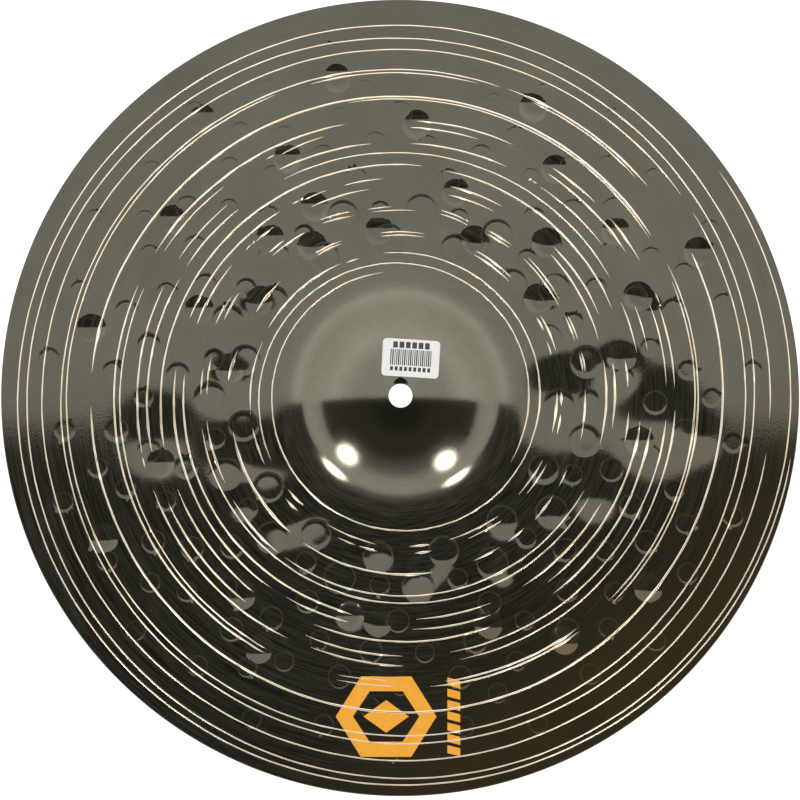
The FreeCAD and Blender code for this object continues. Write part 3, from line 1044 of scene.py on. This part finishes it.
def level_ramp(tree, value, levels):
    """A ramp of grey levels of up to 2."""
    stops = [(position, (level / 2, level / 2, level / 2)) for position, level in levels]
    return math_node(tree, "MULTIPLY", ramp_node(tree, value, stops), 2.0)


def mixed(tree, share, first, second):
    """The first value where the share is 0, and the second where it is 1."""
    change = math_node(tree, "SUBTRACT", second, first)
    return math_node(tree, "MULTIPLY_ADD", change, share, first)


def make_world():
    """A white room above, and below it a pale end and a dark end with pale walls round them."""
    world = bpy.data.worlds.new("studio")
    bpy.context.scene.world = world
    world.use_nodes = True
    tree = world.node_tree
    background = tree.nodes["Background"]
    direction = tree.nodes.new("ShaderNodeTexCoord").outputs["Generated"]
    split = tree.nodes.new("ShaderNodeSeparateXYZ")
    tree.links.new(direction, split.inputs[0])
    x, y, z = split.outputs
    down = math_node(tree, "MAXIMUM", math_node(tree, "MULTIPLY", z, -1.0), 0.001)
    slope = math_node(tree, "DIVIDE", y, down)
    pale = smooth_step(tree, slope, ROOM_SPLIT + ROOM_SPLIT_BLUR, ROOM_SPLIT - ROOM_SPLIT_BLUR)
    sideways = math_node(tree, "ABSOLUTE", math_node(tree, "DIVIDE", x, down))
    to_side = smooth_step(tree, math_node(tree, "DIVIDE", sideways,
                                          math_node(tree, "MAXIMUM", slope, 0.01)), 0.8, 2.2)
    dark = mixed(tree, to_side, level_ramp(tree, down, DARK_END),
                 level_ramp(tree, down, DARK_SIDES))
    lower = mixed(tree, pale, dark, level_ramp(tree, down, PALE_END))
    upper = level_ramp(tree, z, ROOM_TOP)
    above = math_node(tree, "GREATER_THAN", z, 0.0)
    total = math_node(tree, "MULTIPLY", mixed(tree, above, lower, upper), ROOM_LIGHT)
    blue = math_node(tree, "MULTIPLY_ADD", math_node(tree, "SUBTRACT", pale, 1.0), WARM_DARK, total)
    tree.links.new(combine(tree, total, total, math_node(tree, "MAXIMUM", blue, 0.0)),
                   background.inputs["Color"])


CAMERA_DISTANCE = 1.5
CAMERA_TURN_RIGHT = 0.65    # degrees off the axis
CAMERA_TURN_UP = 3.7
SENSOR = 36.0
FRAME_HALF = 203.2          # half of what the frame takes in at the rim
AIM = (-0.25, 0.76, 0.0)    # the point it looks at, in millimetres


def make_camera():
    """The camera below the plate, a little to one side of its axis."""
    data = bpy.data.cameras.new("camera")
    data.sensor_width = SENSOR
    data.lens = SENSOR / 2 * CAMERA_DISTANCE / (FRAME_HALF * MM)
    data.clip_start = 0.01
    data.clip_end = 60.0
    camera = bpy.data.objects.new("camera", data)
    right = math.tan(math.radians(CAMERA_TURN_RIGHT)) * CAMERA_DISTANCE
    up = math.tan(math.radians(CAMERA_TURN_UP)) * CAMERA_DISTANCE
    aim = Vector(AIM) * MM
    camera.location = aim + Vector((-right, up, -CAMERA_DISTANCE))
    back = (camera.location - aim).normalized()
    side = Vector((0, 1, 0)).cross(back).normalized()
    turned = Matrix((side, back.cross(side), back)).transposed()
    camera.rotation_euler = turned.to_euler()
    bpy.context.scene.collection.objects.link(camera)
    bpy.context.scene.camera = camera


make_floor()
make_world()
area_lamp("lamp_right", towards(59, 45) * 2.0, 0.72, 0.64, 31)
area_lamp("lamp_left", towards(59, 128.5) * 2.0, 0.72, 0.64, 31)
area_lamp("softbox_left", (-1.6, -0.9, 1.7), 1.1, 1.1, 34)
area_lamp("softbox_back", (1.3, 1.5, 1.6), 1.0, 1.4, 30)
make_camera()
bpy.context.scene.view_settings.view_transform = "Standard"
